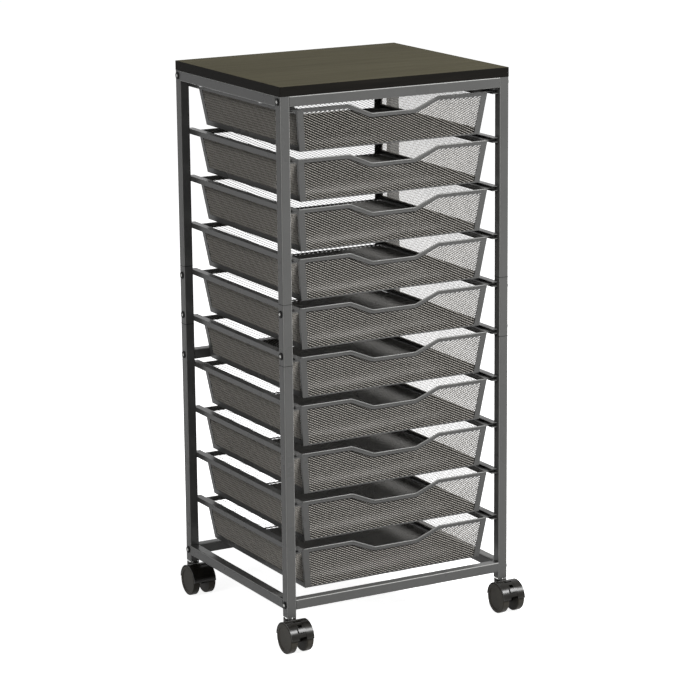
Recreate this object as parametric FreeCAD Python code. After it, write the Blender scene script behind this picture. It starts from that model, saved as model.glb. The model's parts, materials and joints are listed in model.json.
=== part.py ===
import FreeCAD, Part
import math
import os

# A rolling drawer cart: a square-tube frame on four twin-wheel casters carries a wooden board
# and ten sheet-and-mesh drawers, which slide forward in channel runners.
# Millimetres, +Z up, +X to the right seen from the front, -Y to the front.
# The origin is on the floor, under the middle of the whole object.

# Frame: board, tubes and the heights of the rails and post seams
cart_width = 400.0
cart_depth = 352.0
cart_height = 876.0
board_thickness = 15.0
board_chamfer = 0.8
tube_size = 16.0
tube_wall = 1.2
tube_round = 1.8
post_foot = 52.0
lower_seam = 451.0
upper_seam = 546.0
bottom_rail_middle = 71.0
back_rail_middle = 400.0

# Plugs and spigots inside the tubes
plug_gap = 0.2
rail_plug_length = 20.0
foot_plug_length = 15.5
spigot_length = 60.0

# Bolts through the posts and screws under the board
bolt_radius = 2.5
bolt_head_radius = 5.8
bolt_head_rim = 0.8
bolt_head_height = 1.9
bolt_socket_radius = 2.4
bolt_socket_depth = 1.2
bolt_hole_gap = 0.2
bolt_thread_gap = 0.05
rail_bolt_length = 32.0
seam_bolt_length = 12.0
seam_to_bolt = 15.0
screw_radius = 1.75
screw_head_radius = 3.6
screw_head_height = 2.2
screw_bite = 12.0
screw_from_middle = 100.0

# Drawers
drawer_count = 10
drawer_pitch = 76.0
first_rim = 840.0
drawer_height = 67.0
rim_half_width = 166.7
rim_front = -167.5
rim_back = 165.0
side_draft = 8.5
front_draft = 10.0
back_draft = 12.0
sheet = 1.0
mesh_sheet = 0.8
top_band = 8.0
front_band = 6.5
corner_strip = 10.0
side_front_strip = 5.0
side_bottom_strip = 8.5
end_bottom_strip = 2.0
window_round = 1.5
dip_depth = 17.0
dip_half_bottom = 37.7
dip_half_top = 78.3
dip_round = 16.0
flange_reach = 181.5
flange_sheet = 1.5
flange_lip = 3.2
flange_weld = 0.9

# The plain grid of openings in the baskets, which stands for their fine mesh
opening_columns = 8
wall_opening_rows = 5
floor_opening_columns = 4
floor_opening_rows = 12
opening_bar = 5.0
opening_row_bar = 3.2
floor_opening_length = 8.5
opening_edge = 1.0

# Runners
runner_mouth = 173.0
runner_wall = 1.2
runner_above_rim = 3.5
runner_below_rim = 4.6
runner_half_length = 172.0

# Casters
wheel_radius = 24.0
wheel_width = 11.5
wheel_gap = 17.0
wheel_dish_radius = 18.0
wheel_dish_depth = 0.8
wheel_edge_round = 1.5
wheel_side_clearance = 0.5
axle_radius = 3.0
axle_depth = 8.0
press_gap = 0.03
running_gap = 0.05
trail = 18.0
hood_inner_radius = 24.7
hood_radius = 26.2
hood_half_width = 19.6
hood_edge = 2.0
hub_radius = 9.0
neck_radius = 10.0
neck_foot = 8.0
neck_gap = 0.3
stem_radius = 4.0
stem_flange_radius = 8.0
stem_flange = 2.2
stem_thread_length = 14.5
stem_pin_foot = 31.0

# Brake levers in the front hoods, with angles about the axle measured up from the back
lever_slot_half_width = 6.5
lever_half_width = 6.2
lever_slot_floor = 15.5
lever_slot_start = 98.0
lever_slot_end = 180.0
lever_inner_radius = 21.0
lever_radius = 26.0
lever_start = 104.0
lever_end = 165.0
lever_pivot_radius = 23.0
lever_pivot_angle = 110.0
lever_pin_radius = 1.5
lever_pin_reach = 7.6
pedal_radius = 28.4
pedal_start = 136.0
pedal_end = 150.0
lever_window_half_width = 3.4
lever_window_start = 119.0
lever_window_end = 130.0

# How far cutters run past the faces that they open
overshoot = 1.0

# Places that follow from the sizes above
half_width = cart_width / 2
half_depth = cart_depth / 2
post_x = half_width - tube_size / 2
post_y = half_depth - tube_size / 2
post_inner_x = half_width - tube_size
post_inner_y = half_depth - tube_size
board_underside = cart_height - board_thickness
top_rail_middle = board_underside - tube_size / 2
plug_size = tube_size - 2 * tube_wall - 2 * plug_gap
lower_seam_bolt = lower_seam + seam_to_bolt
upper_seam_bolt = upper_seam - seam_to_bolt
front_reach = post_y + trail + math.sqrt(hood_radius ** 2 - hood_edge ** 2)
back_reach = post_y + neck_radius
frame_shift = (front_reach - back_reach) / 2
CORNERS = {
    "front_left": (-1, -1),
    "front_right": (1, -1),
    "back_left": (-1, 1),
    "back_right": (1, 1),
}


def vec(x, y, z):
    return FreeCAD.Vector(x, y, z)


def block(x_span, y_span, z_span):
    """A box between the two ends of each span, given in either order."""
    spans = (x_span, y_span, z_span)
    sizes = [abs(span[1] - span[0]) for span in spans]
    return Part.makeBox(*sizes, vec(*[min(span) for span in spans]))


def outline(corners, place):
    """A closed wire through flat corners (u, v, radius), set in space by place(u, v)."""
    rounds = []
    for index, (u, v, radius) in enumerate(corners):
        corner = vec(u, v, 0)
        before = vec(*corners[index - 1][:2], 0) - corner
        after = vec(*corners[(index + 1) % len(corners)][:2], 0) - corner
        before.normalize()
        after.normalize()
        half_angle = before.getAngle(after) / 2
        reach = radius / math.tan(half_angle)
        depth = radius / math.sin(half_angle) - radius
        inward = before + after
        inward.normalize()
        rounds.append((corner + before * reach, corner + inward * depth, corner + after * reach))
    edges = []
    for index, points in enumerate(rounds):
        entry, middle, leave = [place(point.x, point.y) for point in points]
        if corners[index][2] > 0:
            edges.append(Part.Arc(entry, middle, leave).toShape())
        following = rounds[(index + 1) % len(rounds)][0]
        edges.append(Part.LineSegment(leave, place(following.x, following.y)).toShape())
    return Part.Wire(edges)


def prism_along_x(corners, x_low, x_high):
    """A solid with a flat (y, z, radius) outline, drawn out along X."""
    wire = outline(corners, lambda u, v: vec(x_low, u, v))
    return Part.Face(wire).extrude(vec(x_high - x_low, 0, 0))


def prism_along_y(corners, y_low, y_high):
    """A solid with a flat (x, z, radius) outline, drawn out along Y."""
    wire = outline(corners, lambda u, v: vec(u, y_low, v))
    return Part.Face(wire).extrude(vec(0, y_high - y_low, 0))


def square_bar(size, radius, length):
    """A square bar with rounded edges, standing on the XY plane round the Z axis."""
    half = size / 2
    corners = [(-half, -half, radius), (half, -half, radius), (half, half, radius), (-half, half, radius)]
    wire = outline(corners, lambda u, v: vec(u, v, 0))
    return Part.Face(wire).extrude(vec(0, 0, length))


def square_tube(length):
    """A square tube standing on the XY plane round the Z axis."""
    inside = square_bar(tube_size - 2 * tube_wall, tube_round - tube_wall, length)
    return square_bar(tube_size, tube_round, length).cut(inside)


def rail_across(y, z):
    """A tube between two posts, running from left to right."""
    tube = square_tube(2 * post_inner_x)
    tube.rotate(vec(0, 0, 0), vec(0, 1, 0), 90)
    tube.translate(vec(-post_inner_x, y, z))
    return tube


def rail_along(x, z):
    """A tube between two posts, running from front to back."""
    tube = square_tube(2 * post_inner_y)
    tube.rotate(vec(0, 0, 0), vec(1, 0, 0), -90)
    tube.translate(vec(x, -post_inner_y, z))
    return tube


def hole_across(side_x, y, z, radius, x_low, x_high):
    """A round cutter along X, on one side of the cart."""
    return Part.makeCylinder(radius, x_high - x_low, vec(side_x * x_low, y, z), vec(side_x, 0, 0))


def post_tube(side_x, side_y, z_low, z_high, through_bolts, outer_bolts):
    """One length of a corner post, with holes for the bolts at the heights given."""
    tube = square_tube(z_high - z_low)
    tube.translate(vec(side_x * post_x, side_y * post_y, z_low))
    radius = bolt_radius + bolt_hole_gap
    y = side_y * post_y
    inside = post_inner_x - overshoot
    outside = half_width + overshoot
    cutters = [hole_across(side_x, y, z, radius, inside, outside) for z in through_bolts]
    cutters += [hole_across(side_x, y, z, radius, post_x, outside) for z in outer_bolts]
    return tube.cut(cutters)


def frame_bolt(side_x, y, z, length):
    """A button-head bolt with a hexagonal socket, put in from the outer face of a post."""
    out = vec(side_x, 0, 0)
    seat = vec(side_x * half_width, y, z)
    shank = Part.makeCylinder(bolt_radius, length, seat, out * -1)
    rim = Part.makeCylinder(bolt_head_radius, bolt_head_rim, seat, out)
    crown_height = bolt_head_height - bolt_head_rim
    crown = Part.makeCone(bolt_head_radius, bolt_head_radius - crown_height, crown_height,
                          seat + out * bolt_head_rim, out)
    top = side_x * (half_width + bolt_head_height)
    points = []
    for index in range(7):
        turn = math.radians(60 * index)
        spoke = vec(0, math.cos(turn), math.sin(turn)) * bolt_socket_radius
        points.append(vec(top, y, z) + spoke)
    socket = Part.Face(Part.makePolygon(points)).extrude(out * -bolt_socket_depth)
    return shank.fuse([rim, crown]).cut(socket).removeSplitter()


def rail_plug(side_x, y, z):
    """A square plug in the end of a rail across, threaded for its bolt."""
    half = plug_size / 2
    plug = block((side_x * (post_inner_x - rail_plug_length), side_x * post_inner_x),
                 (y - half, y + half), (z - half, z + half))
    return plug.cut(hole_across(side_x, y, z, bolt_radius + bolt_thread_gap,
                                post_inner_x - rail_plug_length - overshoot, post_inner_x + overshoot))


def foot_plug(side_x, side_y):
    """A square plug in the foot of a post, threaded for its caster stem."""
    plug = square_bar(plug_size, tube_round - tube_wall, foot_plug_length)
    plug = plug.cut(Part.makeCylinder(stem_radius + press_gap, foot_plug_length))
    plug.translate(vec(side_x * post_x, side_y * post_y, post_foot))
    return plug


def post_spigot(side_x, side_y, seam, bolt_z):
    """A square spigot across the seam of a post, threaded for its bolt."""
    spigot = square_bar(plug_size, tube_round - tube_wall, spigot_length)
    spigot.translate(vec(side_x * post_x, side_y * post_y, seam - spigot_length / 2))
    return spigot.cut(hole_across(side_x, side_y * post_y, bolt_z, bolt_radius + bolt_thread_gap,
                                  post_inner_x, half_width))


def board_screw(x, y):
    """A screw with its head under a side rail and its tip in the board."""
    rail_underside = board_underside - tube_size
    shank = Part.makeCylinder(screw_radius, tube_size + screw_bite, vec(x, y, rail_underside))
    head = Part.makeCylinder(screw_head_radius, screw_head_height,
                             vec(x, y, rail_underside - screw_head_height))
    return shank.fuse(head).removeSplitter()


def screw_hole(x, y):
    """The hole for one board screw, through its rail and into the board."""
    return Part.makeCylinder(screw_radius + bolt_thread_gap, tube_size + screw_bite + 2 * overshoot,
                             vec(x, y, board_underside - tube_size - overshoot))


def drawer_wall(z, inset):
    """Half width, front and back of a drawer at a height under its rim, moved inwards by inset."""
    share = -z / drawer_height
    half = rim_half_width - side_draft * share - inset
    front = rim_front + front_draft * share + inset
    back = rim_back - back_draft * share - inset
    return half, front, back


def tapered_box(z_low, z_high, inset):
    """The solid inside the drawer's drafted walls, between two heights."""
    rings = []
    for z in (z_low, z_high):
        half, front, back = drawer_wall(z, inset)
        rings.append([vec(-half, front, z), vec(half, front, z), vec(half, back, z), vec(-half, back, z)])
    low, high = rings
    loops = [low, high]
    for index in range(4):
        after = (index + 1) % 4
        loops.append([low[index], low[after], high[after], high[index]])
    shell = Part.makeShell([Part.Face(Part.makePolygon(loop + loop[:1])) for loop in loops])
    solid = Part.makeSolid(shell)
    if solid.Volume < 0:
        solid.reverse()
    return solid


def dip_corners(lowered):
    """The handle dip in the front rim from left to right, as an outline lowered by a band."""
    slope = math.atan2(dip_depth, dip_half_top - dip_half_bottom)
    widened = lowered * math.tan(slope / 2)
    top = dip_half_top + widened
    bottom = dip_half_bottom + widened
    return [(-top, -lowered, dip_round), (-bottom, -lowered - dip_depth, dip_round),
            (bottom, -lowered - dip_depth, dip_round), (top, -lowered, dip_round)]


def dip_cutter():
    """What the handle dip takes out of the front wall."""
    shoulder = dip_half_top + dip_round
    corners = [(-shoulder, 0, 0)] + dip_corners(0)
    corners += [(shoulder, 0, 0), (shoulder, dip_depth, 0), (-shoulder, dip_depth, 0)]
    return prism_along_y(corners, rim_front - dip_depth, rim_front + 2 * front_draft)


def side_windows():
    """What the mesh windows take out of both side walls."""
    low = side_bottom_strip - drawer_height
    high = -top_band
    corners = []
    for z, end in ((low, 1), (low, 2), (high, 2), (high, 1)):
        inward = side_front_strip if end == 1 else -corner_strip
        corners.append((drawer_wall(z, 0)[end] + inward, z, window_round))
    return prism_along_x(corners, -half_width, half_width)


def front_window():
    """What the mesh window takes out of the front wall, under the band that follows the dip."""
    low = end_bottom_strip - drawer_height
    half_low = drawer_wall(low, 0)[0] - corner_strip
    half_high = drawer_wall(-front_band, 0)[0] - corner_strip
    corners = [(-half_high, -front_band, window_round)] + dip_corners(front_band)
    corners += [(half_high, -front_band, window_round), (half_low, low, window_round),
                (-half_low, low, window_round)]
    return prism_along_y(corners, rim_front - dip_depth, 0)


def back_window():
    """What the mesh window takes out of the back wall."""
    low = end_bottom_strip - drawer_height
    half_low = drawer_wall(low, 0)[0] - corner_strip
    half_high = drawer_wall(-top_band, 0)[0] - corner_strip
    corners = [(-half_low, low, window_round), (half_low, low, window_round),
               (half_high, -top_band, window_round), (-half_high, -top_band, window_round)]
    return prism_along_y(corners, 0, rim_back + back_draft)


def drawer_flange(side_x):
    """The flange along one side of a drawer, with the lip that slides on the runner."""
    y_span = (rim_front + sheet, rim_back - sheet)
    root = rim_half_width - flange_weld
    plate = block((side_x * root, side_x * flange_reach), y_span, (-flange_sheet, 0))
    lip = block((side_x * (flange_reach - flange_sheet), side_x * flange_reach), y_span, (-flange_lip, 0))
    return plate.fuse(lip)


def drawer_frame():
    """The folded sheet frame of a drawer, with its rim at height 0."""
    walls = tapered_box(-drawer_height, 0, 0).cut(tapered_box(-drawer_height - top_band, top_band, sheet))
    walls = walls.cut([side_windows(), front_window(), back_window(), dip_cutter()])
    return walls.fuse([drawer_flange(-1), drawer_flange(1)]).removeSplitter()


def opening_spans(low, high, count, bar):
    """The two ends of each opening in a row of equal openings, with bars between them."""
    pitch = (high - low + bar) / count
    return [(low + pitch * index, low + pitch * (index + 1) - bar) for index in range(count)]


def front_band_edge(x):
    """How high the front window reaches at a place across it, under the band that follows the dip."""
    near, far = [corner[0] for corner in dip_corners(front_band)[2:]]
    share = (far - abs(x)) / (far - near)
    return -front_band - dip_depth * min(max(share, 0), 1)


def basket_openings():
    """What the grid of openings takes out of a basket's four walls and floor."""
    depth = sheet + mesh_sheet + overshoot
    half_low, front_low, back_low = drawer_wall(-drawer_height, corner_strip + opening_edge)
    side_front = drawer_wall(-drawer_height, side_front_strip + opening_edge)[1]
    columns = opening_spans(-half_low, half_low, opening_columns, opening_bar)
    side_columns = opening_spans(side_front, back_low, opening_columns, opening_bar)
    rows = opening_spans(end_bottom_strip + opening_edge - drawer_height, -top_band - opening_edge,
                         wall_opening_rows, opening_row_bar)
    cutters = []
    for z_low, z_high in rows:
        half_in, front_in, back_in = drawer_wall(z_low, depth)
        half_out, front_out, back_out = drawer_wall(z_high, 0)
        for ends in columns:
            cutters.append(block(ends, (back_in, back_out), (z_low, z_high)))
            if z_high < min(front_band_edge(x) for x in (*ends, sum(ends) / 2)):
                cutters.append(block(ends, (front_out, front_in), (z_low, z_high)))
        if z_low > side_bottom_strip - drawer_height:
            for ends in side_columns:
                for side in (-1, 1):
                    cutters.append(block((side * half_in, side * half_out), ends, (z_low, z_high)))
    floor_bar = (back_low - front_low - floor_opening_rows * floor_opening_length) / (floor_opening_rows - 1)
    for y_span in opening_spans(front_low, back_low, floor_opening_rows, floor_bar):
        for ends in opening_spans(-half_low, half_low, floor_opening_columns, opening_bar):
            cutters.append(block(ends, y_span, (-drawer_height - overshoot, depth - drawer_height)))
    return cutters


def drawer_basket():
    """The mesh basket inside a drawer frame as a thin sheet with openings, with its rim at height 0."""
    outside = tapered_box(-drawer_height, 0, sheet)
    inside = tapered_box(mesh_sheet - drawer_height, top_band, sheet + mesh_sheet)
    return outside.cut([inside, dip_cutter()]).cut(basket_openings())


def runner(side_x, rim):
    """A channel that faces the drawer and holds its flange."""
    ends = (-runner_half_length, runner_half_length)
    channel = block((side_x * runner_mouth, side_x * post_inner_x), ends,
                    (rim - runner_below_rim, rim + runner_above_rim))
    hollow = block((side_x * (runner_mouth - overshoot), side_x * (post_inner_x - runner_wall)), ends,
                   (rim - runner_below_rim + runner_wall, rim + runner_above_rim - runner_wall))
    return channel.cut(hollow)


def along_x(radius, x_low, x_high):
    """A round bar on the wheel axis."""
    return Part.makeCylinder(radius, x_high - x_low, vec(x_low, 0, 0), vec(1, 0, 0))


def ring_slice(radius_low, radius_high, start, end, half_size):
    """A slice of a ring round the wheel axis, between two angles measured up from the back."""
    def at(radius, angle):
        turn = math.radians(angle)
        return vec(-half_size, radius * math.cos(turn), radius * math.sin(turn))
    middle = (start + end) / 2
    edges = [
        Part.Arc(at(radius_low, start), at(radius_low, middle), at(radius_low, end)).toShape(),
        Part.LineSegment(at(radius_low, end), at(radius_high, end)).toShape(),
        Part.Arc(at(radius_high, end), at(radius_high, middle), at(radius_high, start)).toShape(),
        Part.LineSegment(at(radius_high, start), at(radius_low, start)).toShape(),
    ]
    return Part.Face(Part.Wire(edges)).extrude(vec(2 * half_size, 0, 0))


def lever_pivot():
    """The middle of the brake lever's pivot, from the wheel axis."""
    turn = math.radians(lever_pivot_angle)
    return vec(0, lever_pivot_radius * math.cos(turn), lever_pivot_radius * math.sin(turn))


def lever_pin(radius, reach):
    """A round bar on the brake lever's pivot."""
    return Part.makeCylinder(radius, 2 * reach, lever_pivot() - vec(reach, 0, 0), vec(1, 0, 0))


def caster_hood(braked):
    """The hood over both wheels, with its centre web and neck, round the wheel axis at height 0."""
    web_half = wheel_gap / 2 - wheel_side_clearance
    neck_top = post_foot - stem_flange - neck_gap - wheel_radius
    pin_foot = stem_pin_foot - wheel_radius - neck_gap
    wide = (-half_width, half_width)
    cover = along_x(hood_radius, -hood_half_width, hood_half_width)
    cover = cover.common(block(wide, wide, (hood_edge, half_width)))
    neck = Part.makeCylinder(neck_radius, neck_top - neck_foot, vec(0, trail, neck_foot))
    hood = cover.fuse([neck, along_x(hub_radius, -web_half, web_half)])
    cutters = [
        along_x(hood_inner_radius, web_half, half_width),
        along_x(hood_inner_radius, -half_width, -web_half),
        along_x(axle_radius + running_gap, -half_width, half_width),
        Part.makeCylinder(stem_radius + running_gap, neck_top, vec(0, trail, pin_foot)),
    ]
    if braked:
        cutters.append(ring_slice(lever_slot_floor, 2 * hood_radius, lever_slot_start, lever_slot_end,
                                  lever_slot_half_width))
        cutters.append(lever_pin(lever_pin_radius + running_gap, half_width))
    return hood.cut(cutters).removeSplitter()


def brake_lever():
    """The pedal in the slot of a front hood, with its pivot pins, round the wheel axis."""
    arm = ring_slice(lever_inner_radius, lever_radius, lever_start, lever_end, lever_half_width)
    pedal = ring_slice(lever_inner_radius, pedal_radius, pedal_start, pedal_end, lever_half_width)
    window = ring_slice(lever_slot_floor, 2 * hood_radius, lever_window_start, lever_window_end,
                        lever_window_half_width)
    return arm.fuse([pedal, lever_pin(lever_pin_radius, lever_pin_reach)]).cut(window).removeSplitter()


def caster_wheel():
    """The right wheel of a pair, with its dished outer face and blind axle bore."""
    inner = wheel_gap / 2
    outer = inner + wheel_width
    bore = axle_radius + press_gap
    corners = [
        (inner + axle_depth, 0, 0),
        (inner + axle_depth, bore, 0),
        (inner, bore, 0),
        (inner, wheel_radius, wheel_edge_round),
        (outer, wheel_radius, wheel_edge_round),
        (outer, wheel_dish_radius + wheel_dish_depth, 0),
        (outer - wheel_dish_depth, wheel_dish_radius, 0),
        (outer - wheel_dish_depth, 0, 0),
    ]
    wire = outline(corners, lambda u, v: vec(u, 0, v))
    return Part.Face(wire).revolve(vec(0, 0, 0), vec(1, 0, 0), 360)


def caster_stem(side_x, side_y):
    """A stem screwed into a post foot, with the flange under the post and the pin for the hood."""
    place = (side_x * post_x, side_y * post_y)
    flange_foot = post_foot - stem_flange
    pin = Part.makeCylinder(stem_radius, post_foot + stem_thread_length - stem_pin_foot,
                            vec(*place, stem_pin_foot))
    flange = Part.makeCylinder(stem_flange_radius, stem_flange, vec(*place, flange_foot))
    return pin.fuse(flange).removeSplitter()


def build_frame():
    """Every node that stands still, by name."""
    screws = [(side_x * post_x, end * screw_from_middle) for side_x in (-1, 1) for end in (-1, 1)]
    screw_holes = [screw_hole(x, y) for x, y in screws]
    board = block((-half_width, half_width), (-half_depth, half_depth), (board_underside, cart_height))
    board = board.makeChamfer(board_chamfer, board.Edges).cut(screw_holes)
    nodes = {"top_board": board}
    middles, spigots, bolts, plugs, stems = [], [], [], [], []
    for corner, (side_x, side_y) in CORNERS.items():
        y = side_y * post_y
        low_bolts = [bottom_rail_middle] + ([back_rail_middle] if side_y > 0 else [])
        seam_bolts = [lower_seam_bolt, upper_seam_bolt]
        nodes["post_lower_" + corner] = post_tube(side_x, side_y, post_foot, lower_seam, low_bolts, [])
        nodes["post_upper_" + corner] = post_tube(side_x, side_y, upper_seam, board_underside,
                                                  [top_rail_middle], [])
        middles.append(post_tube(side_x, side_y, lower_seam, upper_seam, [], seam_bolts))
        for seam, bolt_z in ((lower_seam, lower_seam_bolt), (upper_seam, upper_seam_bolt)):
            spigots.append(post_spigot(side_x, side_y, seam, bolt_z))
            bolts.append(frame_bolt(side_x, y, bolt_z, seam_bolt_length))
        for z in low_bolts + [top_rail_middle]:
            bolts.append(frame_bolt(side_x, y, z, rail_bolt_length))
            plugs.append(rail_plug(side_x, y, z))
        plugs.append(foot_plug(side_x, side_y))
        stems.append(caster_stem(side_x, side_y))
    for level, z in (("top_rail_", top_rail_middle), ("bottom_rail_", bottom_rail_middle)):
        for end, side in (("front", -1), ("back", 1)):
            nodes[level + end] = rail_across(side * post_y, z)
        for end, side in (("left", -1), ("right", 1)):
            nodes[level + end] = rail_along(side * post_x, z)
    for name in ("top_rail_left", "top_rail_right"):
        nodes[name] = nodes[name].cut(screw_holes)
    nodes["middle_rail_back"] = rail_across(post_y, back_rail_middle)
    rims = [first_rim - drawer_pitch * index for index in range(drawer_count)]
    for end, side in (("left", -1), ("right", 1)):
        nodes["runners_" + end] = Part.makeCompound([runner(side, rim) for rim in rims])
    nodes["post_middle_sections"] = Part.makeCompound(middles)
    nodes["post_spigots"] = Part.makeCompound(spigots)
    nodes["frame_bolts"] = Part.makeCompound(bolts)
    nodes["tube_end_plugs"] = Part.makeCompound(plugs)
    nodes["board_screws"] = Part.makeCompound([board_screw(x, y) for x, y in screws])
    nodes["caster_stems"] = Part.makeCompound(stems)
    return nodes


def build_drawers():
    """The frame and the basket of every drawer, by name, counted from the top."""
    nodes = {}
    for label, model in (("frame", drawer_frame()), ("basket", drawer_basket())):
        for index in range(drawer_count):
            copy = model.copy()
            copy.translate(vec(0, 0, first_rim - drawer_pitch * index))
            nodes["drawer_%02d_%s" % (index + 1, label)] = copy
    return nodes


def build_casters():
    """The hood, wheels, axle and, at the front, brake lever of every caster, by name."""
    wheel = caster_wheel()
    wheels = Part.makeCompound([wheel, wheel.mirror(vec(0, 0, 0), vec(1, 0, 0))])
    axle_half = wheel_gap / 2 + axle_depth - running_gap
    nodes = {}
    for corner, (side_x, side_y) in CORNERS.items():
        braked = side_y < 0
        pieces = {
            "hood": caster_hood(braked),
            "wheels": wheels.copy(),
            "axle": along_x(axle_radius, -axle_half, axle_half),
        }
        if braked:
            pieces["brake_lever"] = brake_lever()
        for label, piece in pieces.items():
            piece.translate(vec(side_x * post_x, side_y * post_y - trail, wheel_radius))
            nodes["caster_" + corner + "_" + label] = piece
    return nodes


os.makedirs("parts", exist_ok=True)
for name, shape in {**build_frame(), **build_drawers(), **build_casters()}.items():
    shape.translate(vec(0, frame_shift, 0))
    shape.exportStep("parts/" + name + ".step")
    print(name, "solids", len(shape.Solids), "valid", shape.isValid(), "cm3", round(shape.Volume / 1000, 2))
print("frame shift", round(frame_shift, 4))
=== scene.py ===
import json
import math

import bmesh
import bpy
from mathutils import Euler, Matrix, Vector


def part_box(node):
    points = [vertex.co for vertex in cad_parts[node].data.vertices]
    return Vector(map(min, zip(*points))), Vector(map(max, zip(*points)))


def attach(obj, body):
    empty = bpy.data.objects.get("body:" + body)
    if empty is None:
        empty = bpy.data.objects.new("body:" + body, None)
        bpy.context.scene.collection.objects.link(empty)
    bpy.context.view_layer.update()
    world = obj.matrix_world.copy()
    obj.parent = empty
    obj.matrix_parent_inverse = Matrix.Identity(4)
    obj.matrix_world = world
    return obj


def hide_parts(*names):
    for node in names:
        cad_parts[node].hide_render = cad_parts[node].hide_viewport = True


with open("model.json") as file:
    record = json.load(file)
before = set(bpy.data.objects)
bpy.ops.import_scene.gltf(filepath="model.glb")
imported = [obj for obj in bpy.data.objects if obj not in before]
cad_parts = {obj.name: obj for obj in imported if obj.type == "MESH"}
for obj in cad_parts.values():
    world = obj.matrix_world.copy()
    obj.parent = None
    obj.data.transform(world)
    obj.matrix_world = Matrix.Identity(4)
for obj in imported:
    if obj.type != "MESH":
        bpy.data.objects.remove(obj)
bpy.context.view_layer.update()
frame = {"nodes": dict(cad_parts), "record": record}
nodes = frame["nodes"]
scene = bpy.context.scene

# Sizes of a drawer in metres, as in the part's source, with the rim at height 0
DRAWERS = ["drawer_%02d" % (index + 1) for index in range(10)]
FIRST_FRAME_LOW, FIRST_FRAME_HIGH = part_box("drawer_01_frame")
RIM_HEIGHTS = [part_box(name + "_frame")[1].z for name in DRAWERS]
DRAWER_HEIGHT = FIRST_FRAME_HIGH.z - FIRST_FRAME_LOW.z
RIM_HALF_WIDTH = 0.1667
RIM_FRONT = FIRST_FRAME_LOW.y
RIM_BACK = FIRST_FRAME_HIGH.y
SIDE_DRAFT = 0.0085
FRONT_DRAFT = 0.010
BACK_DRAFT = 0.012
DIP_DEPTH = 0.017
DIP_HALF_BOTTOM = 0.0377
DIP_HALF_TOP = 0.0783
MESH_INSET = 0.0014
MESH_BELOW_RIM = 0.003

# The expanded metal mesh
LONG_WAY = 0.0081
SHORT_WAY = 0.0039
STRAND_WIDTH = 0.00130
STRAND_DEPTH = 0.00030
STRAND_TILT = math.radians(65)
BOND_SHARE = 0.9
# The mark for the strands' slope with painted light; the other slope has painted shade
PAINTED_LIGHT_SLOPE = "painted_light_slope"
STRAND_SIZES = ["Long way", "Short way", "Strand width", "Strand depth", "Strand tilt", "Bond share"]
PANEL_SIZES = ["Painted light side", "Turn", "Height", "Left low", "Left high", "Right low", "Right high",
               "Side margin", "Low margin", "High margin", "Dip half bottom", "Dip half top", "Dip depth"]

# A three-sided section of radius 1 is this deep and this wide
TRIANGLE_DEPTH = 1.5
TRIANGLE_WIDTH = math.sqrt(3.0)

# The rolled hem along a drawer's rim
HEM_RADIUS = 0.0014
HEM_SIDES = 10
HEM_CORNER = 0.003
DIP_ROUND = 0.016

# Heights on the posts, as in the part's source: bolts on all four, on the back two only, and the seams
BOLT_HEIGHTS = (0.071, 0.466, 0.531, 0.853)
BACK_BOLT_HEIGHT = 0.400
SEAM_HEIGHTS = (0.451, 0.546)
SOCKET_RADIUS = 0.0027
SOCKET_DEPTH = 0.0006
SOCKET_TOP_SHARE = 0.7
SEAM_RADIUS = 0.00035
SEAM_SIDES = 6
SEAM_CORNER_STEPS = 3
TUBE_CORNER = 0.0015

# The top board
BOARD_BEVEL = 0.0009

# The camera, from the photograph's own edges, with the image 700 pixels wide
CAMERA_PLACE = Vector((-2.1719, -3.8863, 1.4847))
CAMERA_HEADING = math.radians(29.240)
CAMERA_DROP = math.radians(13.448)
CAMERA_ROLL = math.radians(-0.522)
CAMERA_FOCUS = 2876.0
CAMERA_REACH = 100.0
IMAGE_WIDTH = 700.0
SENSOR_WIDTH = 36.0

# The studio: place, size and power of each lamp, what they aim at, and how bright the rest is
LAMPS = {"key": ((2.0, -2.4, 3.0), 1.2, 220.0), "left": ((-3.0, -1.3, 2.2), 1.4, 32.0)}
LAMP_AIM = Vector((0.0, 0.0, 0.45))
AMBIENT_LIGHT = 0.1
FLOOR_HALF_WIDTH = 20.0
FLOOR_GLOW = 0.9
FLOOR_BOUNCE = 0.3


def feed(tree, socket, value):
    """Links a socket to another node's output, or sets its own value."""
    if isinstance(value, bpy.types.NodeSocket):
        tree.links.new(value, socket)
    elif value is not None:
        socket.default_value = value


def maths(tree, operation, first, second=None, third=None):
    """One step of arithmetic in a node tree."""
    node = tree.nodes.new("ShaderNodeMath")
    node.operation = operation
    for socket, value in zip(node.inputs, (first, second, third)):
        feed(tree, socket, value)
    return node.outputs[0]


def new_material(name):
    """An empty node material with its principled shader."""
    material = bpy.data.materials.new(name)
    material.use_nodes = True
    tree = material.node_tree
    shader = next(node for node in tree.nodes if node.type == "BSDF_PRINCIPLED")
    return material, tree, shader


def object_coordinates(tree, stretch=(1.0, 1.0, 1.0), turn=(0.0, 0.0, 0.0)):
    """The place on the object in metres, stretched and turned for a pattern."""
    source = tree.nodes.new("ShaderNodeTexCoord")
    mapping = tree.nodes.new("ShaderNodeMapping")
    mapping.inputs["Scale"].default_value = stretch
    mapping.inputs["Rotation"].default_value = turn
    tree.links.new(source.outputs["Object"], mapping.inputs["Vector"])
    return mapping.outputs["Vector"]


def noise(tree, place, scale, detail=3.0, roughness=0.5):
    """A cloudy pattern from 0 to 1."""
    node = tree.nodes.new("ShaderNodeTexNoise")
    node.inputs["Scale"].default_value = scale
    node.inputs["Detail"].default_value = detail
    node.inputs["Roughness"].default_value = roughness
    tree.links.new(place, node.inputs["Vector"])
    return node.outputs["Fac"]


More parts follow.
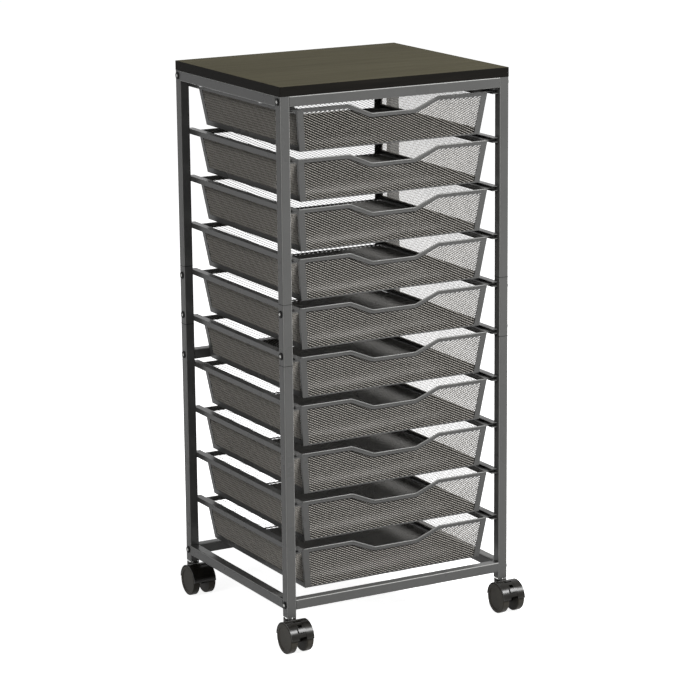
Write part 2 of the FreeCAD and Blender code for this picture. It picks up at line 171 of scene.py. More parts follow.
def colour_ramp(tree, factor, stops):
    """Colours that follow a pattern, from (position, colour) stops."""
    node = tree.nodes.new("ShaderNodeValToRGB")
    ramp = node.color_ramp
    while len(ramp.elements) < len(stops):
        ramp.elements.new(0.5)
    for element, (position, colour) in zip(ramp.elements, stops):
        element.position = position
        element.color = (*colour, 1.0)
    tree.links.new(factor, node.inputs["Fac"])
    return node.outputs["Color"]


def value_range(tree, factor, low, high):
    """A pattern from 0 to 1 spread between two values."""
    node = tree.nodes.new("ShaderNodeMapRange")
    node.inputs["To Min"].default_value = low
    node.inputs["To Max"].default_value = high
    tree.links.new(factor, node.inputs["Value"])
    return node.outputs["Result"]


def bump(tree, shader, height, strength, distance):
    """Fine relief on a surface."""
    node = tree.nodes.new("ShaderNodeBump")
    node.inputs["Strength"].default_value = strength
    node.inputs["Distance"].default_value = distance
    tree.links.new(height, node.inputs["Height"])
    tree.links.new(node.outputs["Normal"], shader.inputs["Normal"])


def painted_highlight_edges(tree):
    """1 on rounded edges, where the surface faces between the main directions, and 0 on flat faces."""
    facing = tree.nodes.new("ShaderNodeSeparateXYZ")
    tree.links.new(tree.nodes.new("ShaderNodeTexCoord").outputs["Normal"], facing.inputs[0])
    parts = [maths(tree, "ABSOLUTE", facing.outputs[axis]) for axis in ("X", "Y", "Z")]
    straight = maths(tree, "MAXIMUM", maths(tree, "MAXIMUM", parts[0], parts[1]), parts[2])
    node = tree.nodes.new("ShaderNodeMapRange")
    node.interpolation_type = "SMOOTHSTEP"
    for label, value in (("From Min", 0.97), ("From Max", 0.80), ("To Min", 0.0), ("To Max", 1.0)):
        node.inputs[label].default_value = value
    tree.links.new(straight, node.inputs["Value"])
    return node.outputs["Result"]


def powder_coat(name, dark, light, edge, rough_low, rough_high, gloss):
    """Powder coat: faint clouds and orange peel, and a lighter colour on rounded edges as a painted
    highlight.
    """
    material, tree, shader = new_material(name)
    place = object_coordinates(tree)
    clouds = noise(tree, place, 14.0, 4.0)
    grains = noise(tree, place, 900.0, 2.0)
    mixed = maths(tree, "MULTIPLY_ADD", grains, 0.4, maths(tree, "MULTIPLY", clouds, 0.6))
    colour = colour_ramp(tree, mixed, [(0.3, dark), (0.7, light)])
    if edge:
        blend = tree.nodes.new("ShaderNodeMix")
        blend.data_type = "RGBA"
        tree.links.new(painted_highlight_edges(tree), blend.inputs["Factor"])
        tree.links.new(colour, blend.inputs[6])
        blend.inputs[7].default_value = (*edge, 1.0)
        colour = blend.outputs[2]
    tree.links.new(colour, shader.inputs["Base Color"])
    tree.links.new(value_range(tree, clouds, rough_low, rough_high), shader.inputs["Roughness"])
    shader.inputs["Specular IOR Level"].default_value = gloss
    bump(tree, shader, noise(tree, place, 650.0, 2.0), 0.12, 0.0002)
    return material


def strand_coat_painted_light(name, dark, light, rough_low, rough_high, gloss):
    """The mesh's coat, with painted shade in a darker tone on one slope of the strands and painted light in
    a lighter tone on the other.
    """
    material, tree, shader = new_material(name)
    place = object_coordinates(tree)
    grains = noise(tree, place, 1500.0, 3.0)
    slope = tree.nodes.new("ShaderNodeAttribute")
    slope.attribute_name = PAINTED_LIGHT_SLOPE
    spread = maths(tree, "MULTIPLY_ADD", grains, 0.12, maths(tree, "MULTIPLY", slope.outputs["Fac"], 0.88))
    tree.links.new(colour_ramp(tree, spread, [(0.0, dark), (1.0, light)]), shader.inputs["Base Color"])
    tree.links.new(value_range(tree, grains, rough_low, rough_high), shader.inputs["Roughness"])
    shader.inputs["Specular IOR Level"].default_value = gloss
    return material


def stained_wood(name, dark, middle, light, rough_low, rough_high, gloss):
    """Dark stained wood with a fine grain along the board's width."""
    material, tree, shader = new_material(name)
    figure = noise(tree, object_coordinates(tree, stretch=(2.0, 14.0, 14.0)), 1.0, 3.0)
    grain = noise(tree, object_coordinates(tree, stretch=(3.0, 60.0, 60.0)), 3.0, 6.0, 0.65)
    mixed = maths(tree, "MULTIPLY_ADD", grain, 0.75, maths(tree, "MULTIPLY", figure, 0.25))
    stops = [(0.30, dark), (0.52, middle), (0.72, light)]
    tree.links.new(colour_ramp(tree, mixed, stops), shader.inputs["Base Color"])
    tree.links.new(value_range(tree, grain, rough_low, rough_high), shader.inputs["Roughness"])
    shader.inputs["Specular IOR Level"].default_value = gloss
    bump(tree, shader, grain, 0.25, 0.0004)
    return material


def moulded_plastic(name, dark, light, rough_low, rough_high, gloss):
    """Glossy dark plastic with a faint flow pattern."""
    material, tree, shader = new_material(name)
    place = object_coordinates(tree)
    flow = noise(tree, place, 60.0, 4.0)
    tree.links.new(colour_ramp(tree, flow, [(0.3, dark), (0.7, light)]), shader.inputs["Base Color"])
    tree.links.new(value_range(tree, flow, rough_low, rough_high), shader.inputs["Roughness"])
    shader.inputs["Specular IOR Level"].default_value = gloss
    bump(tree, shader, noise(tree, place, 1200.0, 2.0), 0.06, 0.0001)
    return material


def bare_metal(name, dark, light, rough_low, rough_high):
    """Plated or plain steel with fine scratches."""
    material, tree, shader = new_material(name)
    place = object_coordinates(tree, stretch=(1.0, 1.0, 8.0))
    scratches = noise(tree, place, 300.0, 5.0)
    tree.links.new(colour_ramp(tree, scratches, [(0.3, dark), (0.7, light)]), shader.inputs["Base Color"])
    tree.links.new(value_range(tree, scratches, rough_low, rough_high), shader.inputs["Roughness"])
    shader.inputs["Metallic"].default_value = 1.0
    return material


def paint(piece, material):
    """Gives a piece or a carried-over node one material."""
    piece.data.materials.clear()
    piece.data.materials.append(material)


def vector(tree, **parts):
    """A vector from its X, Y and Z, with 0 for those left out."""
    node = tree.nodes.new("ShaderNodeCombineXYZ")
    for axis, value in parts.items():
        feed(tree, node.inputs[axis], value)
    return node.outputs[0]


def place_parts(tree):
    """X, Y and Z of the place of each point or face."""
    node = tree.nodes.new("ShaderNodeSeparateXYZ")
    tree.links.new(tree.nodes.new("GeometryNodeInputPosition").outputs[0], node.inputs[0])
    return node.outputs


def moved_points(tree, geometry, offset):
    """A shape whose points each move by an offset."""
    node = tree.nodes.new("GeometryNodeSetPosition")
    tree.links.new(geometry, node.inputs["Geometry"])
    tree.links.new(offset, node.inputs["Offset"])
    return node.outputs["Geometry"]


def transformed(tree, geometry, **changes):
    """A shape moved, turned or scaled as a whole."""
    node = tree.nodes.new("GeometryNodeTransform")
    tree.links.new(geometry, node.inputs["Geometry"])
    for label, value in changes.items():
        feed(tree, node.inputs[label], value)
    return node.outputs["Geometry"]


def swept(tree, path, section, capped=False):
    """A section carried along a path."""
    node = tree.nodes.new("GeometryNodeCurveToMesh")
    node.inputs["Fill Caps"].default_value = capped
    tree.links.new(path, node.inputs["Curve"])
    tree.links.new(section, node.inputs["Profile Curve"])
    return node.outputs["Mesh"]


def round_section(tree, sides, radius):
    """A round section with a few sides."""
    node = tree.nodes.new("GeometryNodeCurvePrimitiveCircle")
    feed(tree, node.inputs["Resolution"], sides)
    feed(tree, node.inputs["Radius"], radius)
    return node.outputs["Curve"]


def chevron_path(tree, given, half_long, half_short):
    """The middle line of two strands, which rise to both sides of a bond.

    The strands that meet in a bond lie a share of their width apart, so a chevron starts half of that above
    its own bond and ends as far below the next ones.
    """
    bond = maths(tree, "MULTIPLY", given["Strand width"], given["Bond share"])
    half_bond = maths(tree, "MULTIPLY", bond, 0.5)
    rise = maths(tree, "MULTIPLY", half_bond, maths(tree, "COSINE", given["Strand tilt"]))
    lift = maths(tree, "MULTIPLY", half_bond, maths(tree, "SINE", given["Strand tilt"]))
    tip_height = maths(tree, "SUBTRACT", half_short, rise)
    line = tree.nodes.new("GeometryNodeMeshLine")
    line.inputs["Count"].default_value = 3
    start = maths(tree, "MULTIPLY", half_long, -1.0)
    tree.links.new(vector(tree, X=start), line.inputs["Start Location"])
    tree.links.new(vector(tree, X=half_long), line.inputs["Offset"])
    outwards = maths(tree, "DIVIDE", maths(tree, "ABSOLUTE", place_parts(tree)["X"]), half_long)
    climb = maths(tree, "MULTIPLY_ADD", maths(tree, "SUBTRACT", tip_height, rise), outwards, rise)
    swing = maths(tree, "MULTIPLY", lift, maths(tree, "MULTIPLY_ADD", outwards, 2.0, -1.0))
    bent = moved_points(tree, line.outputs["Mesh"], vector(tree, Y=climb, Z=swing))
    path = tree.nodes.new("GeometryNodeMeshToCurve")
    tree.links.new(bent, path.inputs["Mesh"])
    upright = tree.nodes.new("GeometryNodeSetCurveNormal")
    upright.mode = "Z_UP"
    tree.links.new(path.outputs["Curve"], upright.inputs["Curve"])
    return upright.outputs["Curve"]


def strand_section(tree, given):
    """The flat three-sided section of a strand, leaning by the strand's tilt."""
    depth = maths(tree, "DIVIDE", given["Strand depth"], TRIANGLE_DEPTH)
    width = maths(tree, "DIVIDE", given["Strand width"], TRIANGLE_WIDTH)
    flat = transformed(tree, round_section(tree, 3, 1.0), Scale=vector(tree, X=depth, Y=width, Z=1.0))
    lean = maths(tree, "SUBTRACT", math.radians(90), given["Strand tilt"])
    return transformed(tree, flat, Rotation=vector(tree, Z=lean))


def marked_slope(tree, strands, light_side):
    """The strands, with one of their two slopes marked for the lighter tone of painted light."""
    along = maths(tree, "MULTIPLY", place_parts(tree)["X"], light_side)
    mark = tree.nodes.new("GeometryNodeStoreNamedAttribute")
    mark.data_type = "FLOAT"
    mark.domain = "FACE"
    mark.inputs["Name"].default_value = PAINTED_LIGHT_SLOPE
    tree.links.new(strands, mark.inputs["Geometry"])
    tree.links.new(maths(tree, "GREATER_THAN", along, 0.0), mark.inputs["Value"])
    return mark.outputs["Geometry"]


def knuckle_points(tree, given, half_long, half_short, turned):
    """The chevrons' places, in rows half a short way apart, every second row moved by half a long way."""
    lattice = tree.nodes.new("GeometryNodeMeshGrid")
    width = maths(tree, "MULTIPLY", maths(tree, "SUBTRACT", given["Columns"], 1.0), given["Long way"])
    height = maths(tree, "MULTIPLY", maths(tree, "SUBTRACT", given["Rows"], 1.0), half_short)
    for label, value in (("Vertices X", given["Columns"]), ("Vertices Y", given["Rows"]), ("Size X", width),
                         ("Size Y", height)):
        tree.links.new(value, lattice.inputs[label])
    raised = maths(tree, "MULTIPLY_ADD", height, 0.5, place_parts(tree)["Y"])
    row = maths(tree, "ROUND", maths(tree, "DIVIDE", raised, half_short))
    sideways = maths(tree, "MULTIPLY", maths(tree, "MODULO", row, 2.0), half_long)
    staggered = moved_points(tree, lattice.outputs["Mesh"], vector(tree, X=sideways))
    edges = maths(tree, "ADD", given["Left high"], given["Right high"])
    half_height = maths(tree, "MULTIPLY", given["Height"], 0.5)
    middle = vector(tree, X=maths(tree, "MULTIPLY", edges, 0.5), Y=half_height)
    return transformed(tree, staggered, Rotation=turned, Translation=middle)


def outside_panel(tree, given):
    """Over 0 for a knuckle whose chevron would cross the slanted sides, the foot or the dipped top edge."""
    knuckle = place_parts(tree)
    share = maths(tree, "DIVIDE", knuckle["Y"], given["Height"])
    limits = {}
    for side in ("Left", "Right"):
        spread = maths(tree, "SUBTRACT", given[side + " high"], given[side + " low"])
        limits[side] = maths(tree, "MULTIPLY_ADD", spread, share, given[side + " low"])
    left_tip = maths(tree, "SUBTRACT", knuckle["X"], given["Side margin"])
    right_tip = maths(tree, "ADD", knuckle["X"], given["Side margin"])
    too_left = maths(tree, "LESS_THAN", left_tip, limits["Left"])
    too_right = maths(tree, "GREATER_THAN", right_tip, limits["Right"])
    too_low = maths(tree, "LESS_THAN", maths(tree, "SUBTRACT", knuckle["Y"], given["Low margin"]), 0.0)
    from_middle = maths(tree, "ABSOLUTE", knuckle["X"])
    slope_width = maths(tree, "SUBTRACT", given["Dip half top"], given["Dip half bottom"])
    from_slope = maths(tree, "SUBTRACT", given["Dip half top"], from_middle)
    slope_share = maths(tree, "DIVIDE", from_slope, slope_width)
    slope_share = maths(tree, "MINIMUM", maths(tree, "MAXIMUM", slope_share, 0.0), 1.0)
    top = maths(tree, "SUBTRACT", given["Height"], maths(tree, "MULTIPLY", slope_share, given["Dip depth"]))
    too_high = maths(tree, "GREATER_THAN", maths(tree, "ADD", knuckle["Y"], given["High margin"]), top)
    return maths(tree, "ADD", maths(tree, "ADD", too_left, too_right), maths(tree, "ADD", too_low, too_high))


def mesh_panel_tree():
    """A flat panel of diamond mesh in the XY plane, standing on y = 0."""
    tree = bpy.data.node_groups.new("mesh_panel", "GeometryNodeTree")
    for label in ("Columns", "Rows"):
        tree.interface.new_socket(label, in_out="INPUT", socket_type="NodeSocketInt")
    for label in STRAND_SIZES + PANEL_SIZES:
        tree.interface.new_socket(label, in_out="INPUT", socket_type="NodeSocketFloat")
    tree.interface.new_socket("Geometry", in_out="OUTPUT", socket_type="NodeSocketGeometry")
    given = tree.nodes.new("NodeGroupInput").outputs
    half_long = maths(tree, "MULTIPLY", given["Long way"], 0.5)
    half_short = maths(tree, "MULTIPLY", given["Short way"], 0.5)
    turned = vector(tree, Z=given["Turn"])

    path = chevron_path(tree, given, half_long, half_short)
    strands = marked_slope(tree, swept(tree, path, strand_section(tree, given), True), given["Painted light side"])
    trim = tree.nodes.new("GeometryNodeDeleteGeometry")
    trim.domain = "POINT"
    tree.links.new(knuckle_points(tree, given, half_long, half_short, turned), trim.inputs["Geometry"])
    tree.links.new(maths(tree, "GREATER_THAN", outside_panel(tree, given), 0.5), trim.inputs["Selection"])
    spread_out = tree.nodes.new("GeometryNodeInstanceOnPoints")
    tree.links.new(trim.outputs["Geometry"], spread_out.inputs["Points"])
    tree.links.new(strands, spread_out.inputs["Instance"])
    tree.links.new(turned, spread_out.inputs["Rotation"])
    result = tree.nodes.new("NodeGroupOutput")
    tree.links.new(spread_out.outputs["Instances"], result.inputs["Geometry"])
    return tree


def drawer_wall(drop, inset):
    """Half width, front and back of a drawer at a depth under its rim, moved inwards by inset."""
    share = drop / DRAWER_HEIGHT
    half = RIM_HALF_WIDTH - SIDE_DRAFT * share - inset
    front = RIM_FRONT + FRONT_DRAFT * share + inset
    back = RIM_BACK - BACK_DRAFT * share - inset
    return half, front, back


def basket_panels():
    """Outline, place and grain of each of a basket's panels, with the drawer's rim at height 0.

    The mesh's long way lies across the floor, front and back, and upright on the sides. The grain turns a
    panel's lattice, and with it the way its strands lean. Light picks the slope that takes the painted light
    tone; the other slope takes painted shade.
    """
    half_low, front_low, back_low = drawer_wall(DRAWER_HEIGHT, MESH_INSET)
    half_high, front_high, back_high = drawer_wall(0.0, MESH_INSET)
    middle = (front_low + back_low) / 2
    bottom = MESH_INSET / 2 - DRAWER_HEIGHT
    panels = []
    ends = ((FRONT_DRAFT, front_low, 0.0, DIP_DEPTH), (BACK_DRAFT, back_low, math.pi, 0.0))
    for draft, y, turn, dip in ends:
        panels.append(dict(height=math.hypot(DRAWER_HEIGHT, draft), left=(-half_low, -half_high),
                           right=(half_low, half_high), dip=dip, place=(0.0, y, bottom), grain=0.0,
                           light=-1.0, turn=(math.pi / 2 + math.atan2(draft, DRAWER_HEIGHT), 0.0, turn)))
    for side in (-1, 1):
        fore = (front_low - middle, front_high - middle)
        aft = (back_low - middle, back_high - middle)
        left, right = (fore, aft) if side > 0 else ([-y for y in aft], [-y for y in fore])
        panels.append(dict(height=math.hypot(DRAWER_HEIGHT, SIDE_DRAFT), left=left, right=right, dip=0.0,
                           place=(side * half_low, middle, bottom), grain=side * math.pi / 2, light=1.0,
                           turn=(math.pi / 2 + math.atan2(SIDE_DRAFT, DRAWER_HEIGHT), 0.0,
                                 side * math.pi / 2)))
    panels.append(dict(height=back_low - front_low, left=(-half_low, -half_low), right=(half_low, half_low),
                       dip=0.0, place=(0.0, front_low, bottom), grain=math.pi, light=1.0,
                       turn=(0.0, 0.0, 0.0)))
    return panels


def real_mesh(tree, geometry, material):
    """A shape made a real mesh, with its material."""
    realize = tree.nodes.new("GeometryNodeRealizeInstances")
    coat = tree.nodes.new("GeometryNodeSetMaterial")
    coat.inputs["Material"].default_value = material
    tree.links.new(geometry, realize.inputs["Geometry"])
    tree.links.new(realize.outputs["Geometry"], coat.inputs["Geometry"])
    return coat.outputs["Geometry"]


def basket_tree(wall_coat, floor_coat):
    """The five mesh panels of a drawer's basket, joined."""
    panel_tree = mesh_panel_tree()
    tree = bpy.data.node_groups.new("mesh_basket", "GeometryNodeTree")
    for label in STRAND_SIZES:
        tree.interface.new_socket(label, in_out="INPUT", socket_type="NodeSocketFloat")
    tree.interface.new_socket("Geometry", in_out="OUTPUT", socket_type="NodeSocketGeometry")
    given = tree.nodes.new("NodeGroupInput").outputs
    together = tree.nodes.new("GeometryNodeJoinGeometry")
    for panel in basket_panels():
        node = tree.nodes.new("GeometryNodeGroup")
        node.node_tree = panel_tree
        for label in STRAND_SIZES:
            tree.links.new(given[label], node.inputs[label])
        width = 2 * max(abs(edge) for edge in (*panel["left"], *panel["right"]))
        upright = abs(math.sin(panel["grain"])) > 0.5
        along, across = (panel["height"], width) if upright else (width, panel["height"])
        reach = (LONG_WAY / 2, SHORT_WAY / 2) if upright else (SHORT_WAY / 2, LONG_WAY / 2)
        values = {
            "Columns": math.ceil(along / LONG_WAY) + 2,
            "Rows": math.ceil(across / (SHORT_WAY / 2)) + 2,
            "Turn": panel["grain"],
            "Painted light side": panel["light"],
            "Side margin": reach[1],
            "Low margin": reach[0] if panel["grain"] else 0.0,
            "High margin": MESH_BELOW_RIM if panel["grain"] == math.pi else MESH_BELOW_RIM + reach[0],
            "Height": panel["height"],
            "Left low": panel["left"][0],
            "Left high": panel["left"][1],
            "Right low": panel["right"][0],
            "Right high": panel["right"][1],
            "Dip half bottom": DIP_HALF_BOTTOM,
            "Dip half top": DIP_HALF_TOP,
            "Dip depth": panel["dip"],
        }
        for label, value in values.items():
            node.inputs[label].default_value = value
        standing = transformed(tree, node.outputs["Geometry"], Translation=panel["place"],
                               Rotation=Euler(panel["turn"]))
        coat = wall_coat if panel["turn"][0] else floor_coat
        tree.links.new(real_mesh(tree, standing, coat), together.inputs["Geometry"])
    result = tree.nodes.new("NodeGroupOutput")
    tree.links.new(together.outputs["Geometry"], result.inputs["Geometry"])
    return tree


def mesh_from_tree(tree, values, base=None):
    """The plain mesh that a tree gives with the values named, from a base shape where it needs one."""
    holder = bpy.data.objects.new("holder", base or bpy.data.meshes.new("holder"))
    scene.collection.objects.link(holder)
    modifier = holder.modifiers.new("shape", "NODES")
    modifier.node_group = tree
    for item in tree.interface.items_tree:
        if item.in_out == "INPUT" and item.name in values:
            modifier[item.identifier] = values[item.name]
    bpy.context.view_layer.update()
    graph = bpy.context.evaluated_depsgraph_get()
    mesh = bpy.data.meshes.new_from_object(holder.evaluated_get(graph))
    bpy.data.objects.remove(holder)
    return mesh


def add_piece(name, mesh, body, slot, *stands_for):
    """A finished piece that rides on a body and stands for the nodes named."""
    piece = bpy.data.objects.new(name, mesh)
    scene.collection.objects.link(piece)
    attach(piece, body)
    if stands_for:
        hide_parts(*stands_for)
    return piece


def hang_baskets():
    """One mesh basket for each drawer."""
    # The wall coat's dark and light tones are painted shade and painted light on the strands' two slopes
    wall_coat = strand_coat_painted_light("mesh_wall_coat_painted_light", (0.02, 0.0188, 0.017), (0.50, 0.473, 0.43), 0.34, 0.46, 0.3)
    floor_coat = powder_coat("mesh_floor_coat", (0.19, 0.186, 0.178), (0.24, 0.235, 0.225), None,
                             0.4, 0.5, 0.2)
    model = mesh_from_tree(basket_tree(wall_coat, floor_coat), {
        "Long way": LONG_WAY,
        "Short way": SHORT_WAY,
        "Strand width": STRAND_WIDTH,
        "Strand depth": STRAND_DEPTH,
        "Strand tilt": STRAND_TILT,
        "Bond share": BOND_SHARE,
    })
    model.shade_flat()
    for name, rim in zip(DRAWERS, RIM_HEIGHTS):
        mesh = model.copy()
        mesh.transform(Matrix.Translation((0.0, 0.0, rim)))
        add_piece(name + "_mesh", mesh, name, "mesh_paint", name + "_basket")


def rounded_corners(points, radii, steps=6):
    """A closed path through points, with each corner rounded to its radius."""
    path = []
    for index, (corner, radius) in enumerate(zip(points, radii)):
        before = (points[index - 1] - corner).normalized()
        after = (points[(index + 1) % len(points)] - corner).normalized()
        half = before.angle(after) / 2
        reach = radius / math.tan(half)
        centre = corner + (before + after).normalized() * (radius / math.sin(half))
        first = (corner + before * reach - centre).normalized()
        last = (corner + after * reach - centre).normalized()
        for step in range(steps + 1):
            path.append(centre + first.slerp(last, step / steps) * radius)
    return path


def hem_path():
    """The middle line of a drawer's hem, with the rim at height 0."""
    inset = HEM_RADIUS / 2
    half, front, back = drawer_wall(HEM_RADIUS, inset)
    dip_front = drawer_wall(HEM_RADIUS + DIP_DEPTH, inset)[1]
    high = -HEM_RADIUS
    low = high - DIP_DEPTH
    points = [Vector((-half, front, high)), Vector((-DIP_HALF_TOP, front, high)),
              Vector((-DIP_HALF_BOTTOM, dip_front, low)), Vector((DIP_HALF_BOTTOM, dip_front, low)),
              Vector((DIP_HALF_TOP, front, high)), Vector((half, front, high)),
              Vector((half, back, high)), Vector((-half, back, high))]
    radii = [HEM_CORNER] + [DIP_ROUND] * 4 + [HEM_CORNER] * 3
    return rounded_corners(points, radii)


def bead_tree(material):
    """A round bead along a path."""
    tree = bpy.data.node_groups.new("rim_bead", "GeometryNodeTree")
    tree.interface.new_socket("Geometry", in_out="INPUT", socket_type="NodeSocketGeometry")
    tree.interface.new_socket("Radius", in_out="INPUT", socket_type="NodeSocketFloat")
    tree.interface.new_socket("Sides", in_out="INPUT", socket_type="NodeSocketInt")
    tree.interface.new_socket("Geometry", in_out="OUTPUT", socket_type="NodeSocketGeometry")
    given = tree.nodes.new("NodeGroupInput").outputs
    bead = swept(tree, given["Geometry"], round_section(tree, given["Sides"], given["Radius"]))
    result = tree.nodes.new("NodeGroupOutput")
    tree.links.new(real_mesh(tree, bead, material), result.inputs["Geometry"])
    return tree


def closed_curve(points):
    """A closed line through points."""
    curve = bpy.data.curves.new("path", "CURVE")
    curve.dimensions = "3D"
    spline = curve.splines.new("POLY")
    spline.points.add(len(points) - 1)
    for target, point in zip(spline.points, points):
        target.co = (*point, 1.0)
    spline.use_cyclic_u = True
    return curve


def roll_hems(material):
    """The rolled hem along each drawer's rim."""
    sizes = {"Radius": HEM_RADIUS, "Sides": HEM_SIDES}
    model = mesh_from_tree(bead_tree(material), sizes, closed_curve(hem_path()))
    model.shade_smooth()
    for name, rim in zip(DRAWERS, RIM_HEIGHTS):
        mesh = model.copy()
        mesh.transform(Matrix.Translation((0.0, 0.0, rim)))
        add_piece(name + "_hem", mesh, name, "frame_paint")


def post_centres():
    """The end of the cart that each post stands at, and the post's middle."""
    centres = []
    for end in ("front", "back"):
        for side in ("left", "right"):
            low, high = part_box("post_upper_%s_%s" % (end, side))
            centres.append((end, (low + high) / 2))
    return centres


def loose_points(places):
    """A mesh of points alone."""
    mesh = bpy.data.meshes.new("points")
    mesh.from_pydata([tuple(place) for place in places], [], [])
    return mesh


def point_tree(name, sizes):
    """A new tree that takes points and named sizes."""
    tree = bpy.data.node_groups.new(name, "GeometryNodeTree")
    tree.interface.new_socket("Geometry", in_out="INPUT", socket_type="NodeSocketGeometry")
    for label in sizes:
        tree.interface.new_socket(label, in_out="INPUT", socket_type="NodeSocketFloat")
    tree.interface.new_socket("Geometry", in_out="OUTPUT", socket_type="NodeSocketGeometry")
    return tree, tree.nodes.new("NodeGroupInput").outputs


def stand_on_points(tree, points, shape, material, rotation=None):
    """Ends a tree: the shape stands on each point, becomes a real mesh and takes its material."""
    stand = tree.nodes.new("GeometryNodeInstanceOnPoints")
    tree.links.new(points, stand.inputs["Points"])
    tree.links.new(shape, stand.inputs["Instance"])
    feed(tree, stand.inputs["Rotation"], rotation)
    result = tree.nodes.new("NodeGroupOutput")
    tree.links.new(real_mesh(tree, stand.outputs["Instances"], material), result.inputs["Geometry"])


def bolt_socket_tree(material):
    """The bright hexagon in each bolt's head, a painted highlight for the glint on the glossy head, turned
    to face outwards on its side of the cart.
    """
    tree, given = point_tree("bolt_sockets", ["Radius", "Depth"])
    hexagon = tree.nodes.new("GeometryNodeMeshCone")
    hexagon.inputs["Vertices"].default_value = 6
    tree.links.new(given["Radius"], hexagon.inputs["Radius Bottom"])
    tree.links.new(maths(tree, "MULTIPLY", given["Radius"], SOCKET_TOP_SHARE), hexagon.inputs["Radius Top"])
    tree.links.new(given["Depth"], hexagon.inputs["Depth"])
    side = maths(tree, "SIGN", place_parts(tree)["X"])
    outwards = vector(tree, Y=maths(tree, "MULTIPLY", side, math.pi / 2))
    stand_on_points(tree, given["Geometry"], hexagon.outputs["Mesh"], material, outwards)
    return tree


def seam_tree(material):
    """A thin dark line around a square tube at each point."""
    tree, given = point_tree("tube_seams", ["Tube width", "Corner", "Radius"])
    outline = tree.nodes.new("GeometryNodeCurvePrimitiveQuadrilateral")
    for label in ("Width", "Height"):
        tree.links.new(given["Tube width"], outline.inputs[label])
    rounded = tree.nodes.new("GeometryNodeFilletCurve")
    rounded.mode = "POLY"
    rounded.inputs["Count"].default_value = SEAM_CORNER_STEPS
    tree.links.new(outline.outputs["Curve"], rounded.inputs["Curve"])
    tree.links.new(given["Corner"], rounded.inputs["Radius"])
    line = swept(tree, rounded.outputs["Curve"], round_section(tree, SEAM_SIDES, given["Radius"]))
    stand_on_points(tree, given["Geometry"], line, material)
    return tree


def dress_posts():
    """The bright sockets of the bolts, a painted highlight for the glint on each glossy head, and the dark
    seams between the sections of each post.
    """
    bolts_low, bolts_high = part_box("frame_bolts")
    post_low, post_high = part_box("post_upper_front_left")
    sockets = []
    seams = []
    for end, centre in post_centres():
        heights = BOLT_HEIGHTS + ((BACK_BOLT_HEIGHT,) if end == "back" else ())
        face = bolts_low.x if centre.x < 0 else bolts_high.x
        sockets += [Vector((face, centre.y, height)) for height in heights]
        seams += [Vector((centre.x, centre.y, height)) for height in SEAM_HEIGHTS]
    # A lighter metal in each bolt's head, as a painted highlight for the glint on the glossy head
    bright = bare_metal("bolt_socket_painted_glint", (0.26, 0.26, 0.25), (0.38, 0.38, 0.37), 0.45, 0.6)
    sizes = {"Radius": SOCKET_RADIUS, "Depth": SOCKET_DEPTH}
    socket_mesh = mesh_from_tree(bolt_socket_tree(bright), sizes, loose_points(sockets))
    add_piece("bolt_sockets", socket_mesh, "frame", "steel")
    shade = powder_coat("seam_shade", (0.004, 0.004, 0.004), (0.009, 0.009, 0.009), None, 0.6, 0.75, 0.05)
    sizes = {"Tube width": post_high.x - post_low.x, "Corner": TUBE_CORNER, "Radius": SEAM_RADIUS}
    seam_mesh = mesh_from_tree(seam_tree(shade), sizes, loose_points(seams))
    add_piece("post_seams", seam_mesh, "frame", "frame_paint")


def make_board():
    """The top board: a grained face above and below, and a dark band around its bevelled edge."""
    low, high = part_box("top_board")
    maker = bmesh.new()
    bmesh.ops.create_cube(maker, size=1.0)
    size = high - low
    for vertex in maker.verts:
        vertex.co = (low + high) / 2 + Vector(vertex.co[axis] * size[axis] for axis in range(3))
    bmesh.ops.bevel(maker, geom=maker.edges[:], offset=BOARD_BEVEL, segments=3, profile=0.5, affect="EDGES")
    maker.normal_update()
    for face in maker.faces:
        face.material_index = 0 if abs(face.normal.z) > 0.9 else 1
    mesh = bpy.data.meshes.new("top_board")
    maker.to_mesh(mesh)
    maker.free()
    mesh.materials.append(stained_wood("board_face", (0.046, 0.041, 0.025), (0.066, 0.060, 0.038),
                                       (0.086, 0.078, 0.051), 0.6, 0.75, 0.02))
    mesh.materials.append(stained_wood("board_edge", (0.004, 0.0036, 0.003), (0.007, 0.0063, 0.0052),
                                       (0.011, 0.0098, 0.008), 0.55, 0.7, 0.05))
    add_piece("cart_top_board", mesh, "frame", "dark_wood", "top_board")


def paint_frame():
    """Finishes of the nodes that keep their shape."""
    # The third colour is a painted highlight on the tubes' rounded edges
    graphite = powder_coat("graphite_powder_coat", (0.088, 0.088, 0.086), (0.106, 0.106, 0.103),
                           (0.34, 0.34, 0.33), 0.24, 0.32, 0.18)
    hood = moulded_plastic("caster_hood_plastic", (0.008, 0.0072, 0.006), (0.014, 0.0127, 0.0105),
                           0.2, 0.3, 0.2)
    wheel = moulded_plastic("caster_wheel_plastic", (0.045, 0.041, 0.034), (0.060, 0.055, 0.046),
                            0.4, 0.52, 0.08)
    bright = bare_metal("bright_plating", (0.62, 0.62, 0.61), (0.80, 0.80, 0.79), 0.08, 0.2)
    steel = bare_metal("plain_steel", (0.35, 0.35, 0.35), (0.5, 0.5, 0.5), 0.25, 0.4)
    oxide = powder_coat("black_bolt_finish", (0.012, 0.012, 0.012), (0.025, 0.025, 0.025), None,
                        0.5, 0.65, 0.08)
    finishes = {"frame_paint": graphite, "caster_plastic": hood, "wheel_plastic": wheel,
                "bright_steel": bright, "steel": steel, "dark_bolt": oxide, "plug_plastic": hood}
    for part in frame["record"]["subparts"]:
        finish = finishes.get(part["material_slot"])
        if finish:
            paint(nodes[part["node"]], finish)
    return graphite


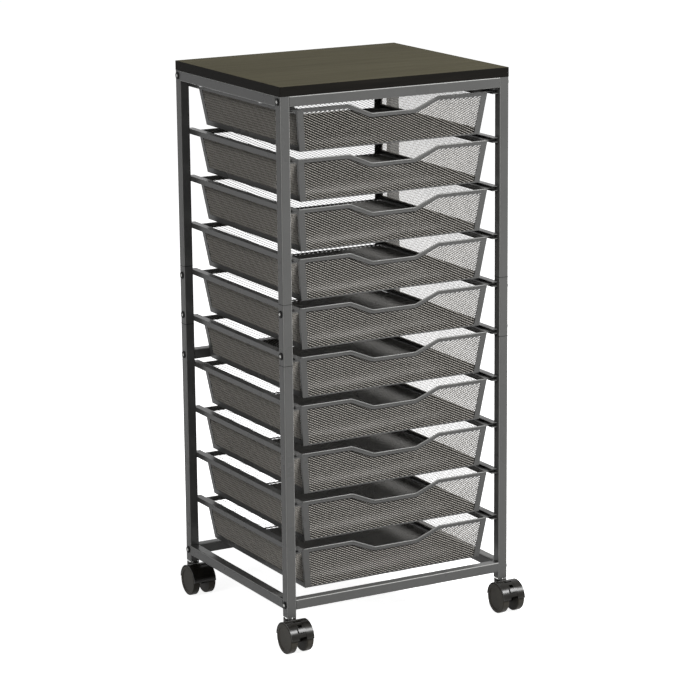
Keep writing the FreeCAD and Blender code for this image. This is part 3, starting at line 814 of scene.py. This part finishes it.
def set_camera():
    """The camera at the photograph's place and angle."""
    ahead = Vector((math.sin(CAMERA_HEADING) * math.cos(CAMERA_DROP),
                    math.cos(CAMERA_HEADING) * math.cos(CAMERA_DROP), -math.sin(CAMERA_DROP)))
    level = Vector((math.cos(CAMERA_HEADING), -math.sin(CAMERA_HEADING), 0.0))
    rise = level.cross(ahead)
    right = level * math.cos(CAMERA_ROLL) + rise * math.sin(CAMERA_ROLL)
    up = rise * math.cos(CAMERA_ROLL) - level * math.sin(CAMERA_ROLL)
    data = bpy.data.cameras.new("camera")
    data.sensor_width = SENSOR_WIDTH
    data.lens = CAMERA_FOCUS / IMAGE_WIDTH * SENSOR_WIDTH
    data.clip_end = CAMERA_REACH
    camera = bpy.data.objects.new("camera", data)
    turned = Matrix((right, up, -ahead)).transposed().to_4x4()
    camera.matrix_world = Matrix.Translation(CAMERA_PLACE) @ turned
    scene.collection.objects.link(camera)
    scene.camera = camera


def area_light(name, place, size, power):
    """A soft square lamp aimed at the middle of the object."""
    data = bpy.data.lights.new(name, "AREA")
    data.size = size
    data.energy = power
    lamp = bpy.data.objects.new(name, data)
    lamp.location = place
    aim = LAMP_AIM - Vector(place)
    lamp.rotation_euler = aim.to_track_quat("-Z", "Y").to_euler()
    scene.collection.objects.link(lamp)


def light_path_share(tree):
    """1 for rays that should see the plain white background, 0 for the rest."""
    path = tree.nodes.new("ShaderNodeLightPath").outputs
    seen = maths(tree, "MAXIMUM", path["Is Camera Ray"], path["Is Glossy Ray"])
    return maths(tree, "MAXIMUM", seen, path["Is Transmission Ray"])


def set_background():
    """A background that is white to look at and gives only a little light."""
    world = bpy.data.worlds.new("studio")
    scene.world = world
    world.use_nodes = True
    tree = world.node_tree
    background = next(node for node in tree.nodes if node.type == "BACKGROUND")
    background.inputs["Color"].default_value = (1.0, 1.0, 1.0, 1.0)
    strength = maths(tree, "MULTIPLY_ADD", light_path_share(tree), 1.0 - AMBIENT_LIGHT, AMBIENT_LIGHT)
    tree.links.new(strength, background.inputs["Strength"])


def lay_floor():
    """A pale floor, nearly white to look at and darker to the light that it sends back."""
    mesh = bpy.data.meshes.new("floor")
    maker = bmesh.new()
    bmesh.ops.create_grid(maker, x_segments=1, y_segments=1, size=FLOOR_HALF_WIDTH)
    maker.to_mesh(mesh)
    maker.free()
    floor = bpy.data.objects.new("floor", mesh)
    scene.collection.objects.link(floor)
    material, tree, shader = new_material("pale_floor")
    clouds = noise(tree, object_coordinates(tree), 3.0)
    tint = colour_ramp(tree, clouds, [(0.3, (0.90,) * 3), (0.7, (0.92,) * 3)])
    share = light_path_share(tree)
    dimmed = tree.nodes.new("ShaderNodeMix")
    dimmed.data_type = "RGBA"
    dimmed.inputs[6].default_value = (FLOOR_BOUNCE, FLOOR_BOUNCE, FLOOR_BOUNCE, 1.0)
    tree.links.new(share, dimmed.inputs["Factor"])
    tree.links.new(tint, dimmed.inputs[7])
    tree.links.new(dimmed.outputs[2], shader.inputs["Base Color"])
    shader.inputs["Roughness"].default_value = 0.9
    shader.inputs["Specular IOR Level"].default_value = 0.0
    shader.inputs["Emission Color"].default_value = (1.0, 1.0, 1.0, 1.0)
    tree.links.new(maths(tree, "MULTIPLY", share, FLOOR_GLOW), shader.inputs["Emission Strength"])
    paint(floor, material)


def set_studio():
    """A white background, a pale floor, a key lamp at the front right and a weaker lamp at the left."""
    set_background()
    lay_floor()
    for name, (place, size, power) in LAMPS.items():
        area_light(name, place, size, power)


graphite = paint_frame()
make_board()
hang_baskets()
roll_hems(graphite)
dress_posts()
set_camera()
set_studio()
scene.view_settings.view_transform = "Standard"
